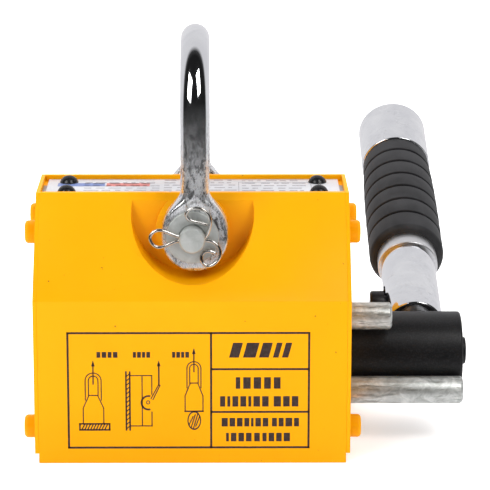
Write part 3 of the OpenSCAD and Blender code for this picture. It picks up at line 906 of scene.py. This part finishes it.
class Print:
    """Flat ink shapes on one face: every shape becomes a thin closed film."""

    def __init__(self, to_space):
        self.shape = bmesh.new()
        self.to_space = to_space

    def polygon(self, points):
        """A closed film over an outline."""
        low = [self.shape.verts.new(self.to_space(x, y, 0)) for x, y in points]
        high = [self.shape.verts.new(self.to_space(x, y, FILM)) for x, y in points]
        self.shape.faces.new(list(reversed(low)))
        self.shape.faces.new(high)
        for index in range(len(points)):
            after = (index + 1) % len(points)
            self.shape.faces.new((low[index], low[after], high[after], high[index]))

    def bar(self, x0, y0, x1, y1, slant=0.0):
        """A filled block; slant pushes its upper edge along."""
        self.polygon([(x0, y0), (x1, y0), (x1 + slant, y1), (x0 + slant, y1)])

    def line(self, a, b, width):
        """A straight stroke with square ends."""
        along = (Vector(b) - Vector(a)).normalized()
        across = Vector((-along.y, along.x)) * width / 2
        grow = along * width / 2
        a = Vector(a) - grow
        b = Vector(b) + grow
        self.polygon([tuple(a - across), tuple(b - across), tuple(b + across), tuple(a + across)])

    def arc(self, centre, radius, start, end, width, stretch=1.0, steps=20):
        """A curved line; stretch makes it an ellipse along the second direction."""
        outer = []
        inner = []
        for step in range(steps + 1):
            turn = math.radians(start + (end - start) * step / steps)
            direction = Vector((math.cos(turn), math.sin(turn) * stretch))
            outer.append(Vector(centre) + direction * (radius + width / 2))
            inner.append(Vector(centre) + direction * (radius - width / 2))
        for index in range(steps):
            self.polygon([tuple(inner[index]), tuple(outer[index]),
                          tuple(outer[index + 1]), tuple(inner[index + 1])])

    def arrow(self, x, y0, y1, width):
        """An upright stroke with a pointed head."""
        foot = y1 - ARROW_LENGTH
        self.line((x, y0), (x, y1 - ARROW_NOTCH), width)
        self.polygon([(x - ARROW_HALF, foot), (x + ARROW_HALF, foot), (x, y1)])

    def hatch(self, x0, y0, x1, y1, count, width, lean):
        """Slanting strokes between two edges."""
        for index in range(count):
            x = x0 + (x1 - x0 - lean) * (index + 0.5) / count
            self.line((x, y0), (x + lean, y1), width)

    def words(self, x0, x1, y, height, pattern, slant=0.0):
        """A row of plain blocks that stands for a line of print."""
        total = sum(pattern)
        x = x0
        for index, share in enumerate(pattern):
            step = (x1 - x0) * share / total
            if index % 2 == 0:
                self.bar(x, y, x + step, y + height, slant)
            x += step

    def finish(self, name, material):
        """Makes the film a piece of the housing."""
        add_object(name, finished_mesh(self.shape, name), [material], "housing")


def on_front(x, z, out):
    """A point of the front print, in millimetres from the middle of the lower edge."""
    return Vector((x * MM, front_face_y + FRONT_GAP - out, z * MM))


SIGN_KINK = 4.3
SIGN_TOP = 7.9
SIGN_BOW = 4.1
SIGN_NECK = 0.42
# Bars of the drawn shackle: radius as a share of the half width, and how far it reaches down.
SIGN_BARS = ((0.78, 1.3), (0.47, 0))


def shackle_sign(ink, x, base, half, width):
    """The outline of a lifter with its shackle and an arrow, seen from the end."""
    kink = base + SIGN_KINK
    top = base + SIGN_TOP
    neck = half * SIGN_NECK
    ink.line((x - half, base), (x - half, kink), width)
    ink.line((x + half, base), (x + half, kink), width)
    ink.line((x - half, kink), (x - neck, top), width)
    ink.line((x + half, kink), (x + neck, top), width)
    ink.line((x - neck, top), (x + neck, top), width)
    bow = top + SIGN_BOW
    for share, drop in SIGN_BARS:
        radius = half * share
        foot = top - drop
        ink.line((x - radius, foot), (x - radius, bow), width)
        ink.line((x + radius, foot), (x + radius, bow), width)
        ink.arc((x, bow), radius, 0, 180, width)
    ink.arrow(x, top + 3.2, top + 9.8, width * 1.2)


RULE = 0.56
FINE = 0.29
MEDIUM = 0.3
FRAME_LEFT, FRAME_RIGHT, FRAME_LOW, FRAME_HIGH = -33.3, 31.2, 4.4, 36.4
FRAME_DIVIDE, FRAME_UPPER, FRAME_LOWER = 5.0, 26.35, 14.4
# Plain blocks in place of the words: left, right, foot, height, lean, and the widths of
# blocks and gaps in turn.
CAPTION = (5, 2, 6, 2, 5, 2, 6)
WORD_ROWS = (
    (-25.6, -20.0, 29.6, 1.6, 0.0, CAPTION),
    (-15.9, -11.3, 29.6, 1.6, 0.0, CAPTION),
    (-5.4, -0.9, 29.6, 1.6, 0.0, CAPTION),
    (9.8, 25.6, 29.6, 4.1, 1.1, (14, 6, 18, 5, 14, 6, 8, 5, 9)),
    (11.6, 23.6, 20.9, 3.2, 0.0, (6, 4, 10, 4, 10, 4, 9, 4, 9)),
    (7.4, 28.4, 15.9, 2.9, 0.0, (7, 3, 4, 3, 8, 3, 8, 3, 4, 3, 9, 3, 9, 7, 10, 3, 9, 3, 9)),
    (7.8, 28.6, 10.3, 2.4, 0.0,
     (10, 3, 9, 3, 9, 3, 8, 3, 4, 3, 9, 3, 9, 6, 8, 3, 8, 3, 11, 3, 8)),
    (9.0, 26.2, 6.1, 2.4, 0.0, (4, 3, 8, 3, 8, 3, 8, 4, 8, 4, 6, 3, 8, 3, 8, 3, 9)))
# The drawn round bar: its middle, radius, stretch, and its strokes by offset and reach.
BAR_X, BAR_Z, BAR_R, BAR_STRETCH = 0.45, 12.0, 1.7, 1.45
BAR_STROKES = ((-1.0, 1.3), (-0.4, 2.0), (0.25, 2.1), (0.85, 1.6))
# The drawn flat plate and the drawn upright wall.
SLAB_X = (-30.3, -22.3)
SLAB_Z = (9.4, 11.1)
WALL_X = (-17.8, -16.8)
WALL_Z = (9.4, 25.6)
WALL_STROKES = 13
WALL_PITCH = 1.22
# The lifter held against the wall, and the lever beside it.
SIDE_VIEW = (
    ((-16.8, 10.5), (-10.9, 10.5)), ((-16.8, 24.6), (-10.9, 24.6)),
    ((-13.5, 10.5), (-13.5, 24.6)), ((-10.9, 10.5), (-10.9, 14.4)),
    ((-10.9, 19.4), (-10.9, 24.6)), ((-11.1, 18.2), (-9.0, 22.2)),
    ((-10.6, 17.9), (-8.7, 21.9)))


def frame_lines(ink):
    """The ruled frame with its three dividing lines."""
    corners = [(FRAME_LEFT, FRAME_LOW), (FRAME_RIGHT, FRAME_LOW),
               (FRAME_LEFT, FRAME_HIGH), (FRAME_RIGHT, FRAME_HIGH)]
    for a, b in ((0, 1), (2, 3), (0, 2), (1, 3)):
        ink.line(corners[a], corners[b], RULE)
    ink.line((FRAME_DIVIDE, FRAME_LOW), (FRAME_DIVIDE, FRAME_HIGH), RULE)
    for level in (FRAME_UPPER, FRAME_LOWER):
        ink.line((FRAME_DIVIDE, level), (FRAME_RIGHT, level), RULE)


def slab_picture(ink):
    """A lifter standing on a hatched flat plate."""
    shackle_sign(ink, -26.6, 11.2, 2.75, FINE)
    for z in SLAB_Z:
        ink.line((SLAB_X[0], z), (SLAB_X[1], z), FINE * 1.5)
    for x in SLAB_X[::-1]:
        ink.line((x, SLAB_Z[0]), (x, SLAB_Z[1]), FINE * 1.5)
    ink.hatch(-30.1, 9.5, -22.5, 11.0, 9, 0.32, 0.7)


def bar_picture(ink):
    """A lifter standing on the end of a hatched round bar."""
    shackle_sign(ink, 0.4, 14.6, 2.4, FINE)
    ink.line((-2.0, 14.6), (2.8, 14.6), 0.4)
    ink.arc((BAR_X, BAR_Z), BAR_R, 0, 360, MEDIUM, BAR_STRETCH, 32)
    for offset, reach in BAR_STROKES:
        ink.line((BAR_X + offset - 0.45, BAR_Z - reach),
                 (BAR_X + offset + 0.65, BAR_Z + reach * 0.8), MEDIUM)


def wall_picture(ink):
    """A lifter held against a hatched upright wall, seen from the side."""
    for x in WALL_X:
        ink.line((x, WALL_Z[0]), (x, WALL_Z[1]), FINE * 1.5)
    for step in range(WALL_STROKES):
        z = 9.7 + step * WALL_PITCH
        ink.line((-17.7, z), (-16.9, z + 0.75), MEDIUM)
    for a, b in SIDE_VIEW:
        ink.line(a, b, FINE)
    ink.arc((-11.8, 17.0), 1.9, 75, 285, 0.5)
    ink.arc((-11.9, 17.1), 0.45, 0, 360, 0.25)
    ink.arrow(-9.0, 22.0, 28.9, FINE * 1.4)


def front_print():
    """A ruled frame with three plain pictures of use and rows of blocks for the words."""
    ink = Print(on_front)
    frame_lines(ink)
    slab_picture(ink)
    bar_picture(ink)
    wall_picture(ink)
    for left, right, foot, height, slant, pattern in WORD_ROWS:
        ink.words(left, right, foot, height, pattern, slant)
    ink.finish("front_print", INK)


plate_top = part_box("nameplate")[1][2]


def on_plate(x, y, out):
    """A point of the nameplate's print, in millimetres from the middle of the part."""
    return Vector((x * MM, y * MM, plate_top + PLATE_GAP + out))


# Columns of marks on the nameplate: left, right, height, and the Y places of the rows.
PLATE_COLUMNS = ((-30.0, -9.2, 0.9, (5.6, 4.0, 1.2, -1.6, -4.4)),
                 (-8.0, 12.0, 1.3, (8.0, 5.0, 2.0, -1.2, -4.4, -7.4)),
                 (13.5, 31.5, 1.3, (7.6, 4.4, 1.2, -2.0, -5.2)))
MARK_HEIGHT = 0.75
MARK_LENGTHS = (1.0, 4.2)
MARK_GAPS = (0.7, 1.6)
COLUMN_END = 2.0
BOX_X = (12.6, 32.6)
BOX_Y = (-7.6, 6.0)
BOX_LINE = 0.2


def plate_print():
    """Rows of marks on the nameplate, with a faded two-colour strip."""
    random.seed(7)
    grey = Print(on_plate)
    for left, right, height, levels in PLATE_COLUMNS:
        for level in levels:
            x = left
            while x < right - COLUMN_END:
                stop = min(x + random.uniform(*MARK_LENGTHS), right)
                grey.bar(x, level, stop, level + height * MARK_HEIGHT)
                x = stop + random.uniform(*MARK_GAPS)
    for x in BOX_X:
        grey.line((x, BOX_Y[0]), (x, BOX_Y[1]), BOX_LINE)
    for y in BOX_Y:
        grey.line((BOX_X[0], y), (BOX_X[1], y), BOX_LINE)
    grey.finish("plate_print_grey", INK_GREY)
    blue = Print(on_plate)
    blue.bar(-37.4, 1.0, -24.4, 5.0)
    blue.finish("plate_print_blue", INK_BLUE)
    red = Print(on_plate)
    red.bar(-24.0, 1.0, -12.0, 5.0)
    red.finish("plate_print_red", INK_RED)


front_print()
plate_print()


# ---------------------------------------------------------------- CAD nodes that stay

for name, item in nodes.items():
    item.data.materials.clear()
    item.data.materials.append(BY_SLOT[slot_of_node[name]])


# ---------------------------------------------------------------- stage

FLOOR_HALF = 4
FLOOR_GLOW = 0.44


def pale_floor():
    """A plain pale floor with a faint glow, which polished metal doesn't show."""
    mesh = bpy.data.meshes.new("floor")
    corners = [(-1, -1), (1, -1), (1, 1), (-1, 1)]
    mesh.from_pydata([(x * FLOOR_HALF, y * FLOOR_HALF, 0) for x, y in corners], [],
                     [(0, 1, 2, 3)])
    floor = bpy.data.objects.new("floor", mesh)
    bpy.context.collection.objects.link(floor)
    shader = Shader("pale_floor", (0.93, 0.93, 0.935), 0.6, Emission_Color=(1, 1, 1, 1),
                    Emission_Strength=FLOOR_GLOW)
    mesh.materials.append(shader.material)
    floor.visible_glossy = False


# Lamps: name, direction and height in degrees, distance, size, power, and whether polished
# metal shows them. Direction 0 stands in front.
SOFTBOXES = (
    ("front_left", -42, 16, 1.4, (0.9, 0.7), 2.9, False),
    ("front_right", 42, 16, 1.4, (0.9, 0.7), 2.7, False),
    ("overhead", 0, 84, 1.3, (1.6, 1.4), 5.1, False),
    ("far_floor", 180, 48, 1.3, (2.0, 1.2), 26.0, False),
    ("strip_left", -46, 38, 1.2, (0.58, 0.64), 7.2, True),
    ("strip_right", 42, 46, 1.2, (0.44, 0.64), 5.8, True))
LAMP_TARGET = (0, 0, 0.05)


def softbox(name, azimuth, elevation, distance, size, power, mirrored):
    """A rectangular lamp that looks at the object."""
    data = bpy.data.lights.new(name, "AREA")
    data.shape = "RECTANGLE"
    data.size, data.size_y = size
    data.energy = power
    lamp = bpy.data.objects.new(name, data)
    bpy.context.collection.objects.link(lamp)
    turn, rise = math.radians(azimuth), math.radians(elevation)
    away = Vector((math.sin(turn) * math.cos(rise), -math.cos(turn) * math.cos(rise),
                   math.sin(rise)))
    lamp.location = Vector(LAMP_TARGET) + away * distance
    lamp.rotation_mode = "QUATERNION"
    lamp.rotation_quaternion = away.to_track_quat("Z", "Y")
    lamp.visible_glossy = mirrored


# Brightness of the room by direction: BACK_WALL from 0 at the front to 1 at the back, and
# LOW_FRONT from 0 below to 1 above. The brighter of the two counts.
BACK_WALL = ((0.0, 0.016), (0.50, 0.014), (0.57, 0.05), (0.64, 0.72), (1.0, 0.82))
LOW_FRONT = ((0.0, 0.85), (0.33, 0.80), (0.37, 0.0))
ROOM_COLOUR = (0.975, 0.965, 0.99, 1)


def room_brightness(tree, direction, stops):
    """A brightness that follows one part of the direction, from -1 to 1."""
    lift = tree.nodes.new("ShaderNodeMath")
    lift.operation = "MULTIPLY_ADD"
    lift.inputs[1].default_value = 0.5
    lift.inputs[2].default_value = 0.5
    tree.links.new(direction, lift.inputs[0])
    return ramp_node(tree, lift.outputs[0], stops)


def studio():
    """A white sweep behind and below the object, a dark room in front of it and soft lamps."""
    world = bpy.data.worlds.new("studio")
    bpy.context.scene.world = world
    world.use_nodes = True
    tree = world.node_tree
    coords = tree.nodes.new("ShaderNodeTexCoord")
    split = tree.nodes.new("ShaderNodeSeparateXYZ")
    tree.links.new(coords.outputs["Generated"], split.inputs[0])
    brighter = tree.nodes.new("ShaderNodeMath")
    brighter.operation = "MAXIMUM"
    tree.links.new(room_brightness(tree, split.outputs["Y"], BACK_WALL), brighter.inputs[0])
    tree.links.new(room_brightness(tree, split.outputs["Z"], LOW_FRONT), brighter.inputs[1])
    back = tree.nodes["Background"]
    back.inputs["Color"].default_value = ROOM_COLOUR
    tree.links.new(brighter.outputs[0], back.inputs["Strength"])
    for lamp in SOFTBOXES:
        softbox(*lamp)
    bpy.context.scene.view_settings.view_transform = "Standard"


CAMERA_PLACE = (0.00747, -0.67551, 0.21828)
CAMERA_PITCH = math.radians(13.77)
CAMERA_YAW = math.radians(0.583)
CAMERA_ROLL = math.radians(0.078)


def camera():
    """The camera stands in front of the object and looks down on it a little."""
    data = bpy.data.cameras.new("camera")
    data.lens = 184.2
    data.sensor_width = 36.0
    data.clip_start = 0.01
    cam = bpy.data.objects.new("camera", data)
    bpy.context.collection.objects.link(cam)
    cam.location = CAMERA_PLACE
    forward = Vector((math.sin(CAMERA_YAW) * math.cos(CAMERA_PITCH),
                      math.cos(CAMERA_YAW) * math.cos(CAMERA_PITCH), -math.sin(CAMERA_PITCH)))
    rolled = Matrix.Rotation(CAMERA_ROLL, 3, "Z").to_quaternion()
    cam.rotation_mode = "QUATERNION"
    cam.rotation_quaternion = forward.to_track_quat("-Z", "Y") @ rolled
    bpy.context.scene.camera = cam


pale_floor()
studio()
camera()
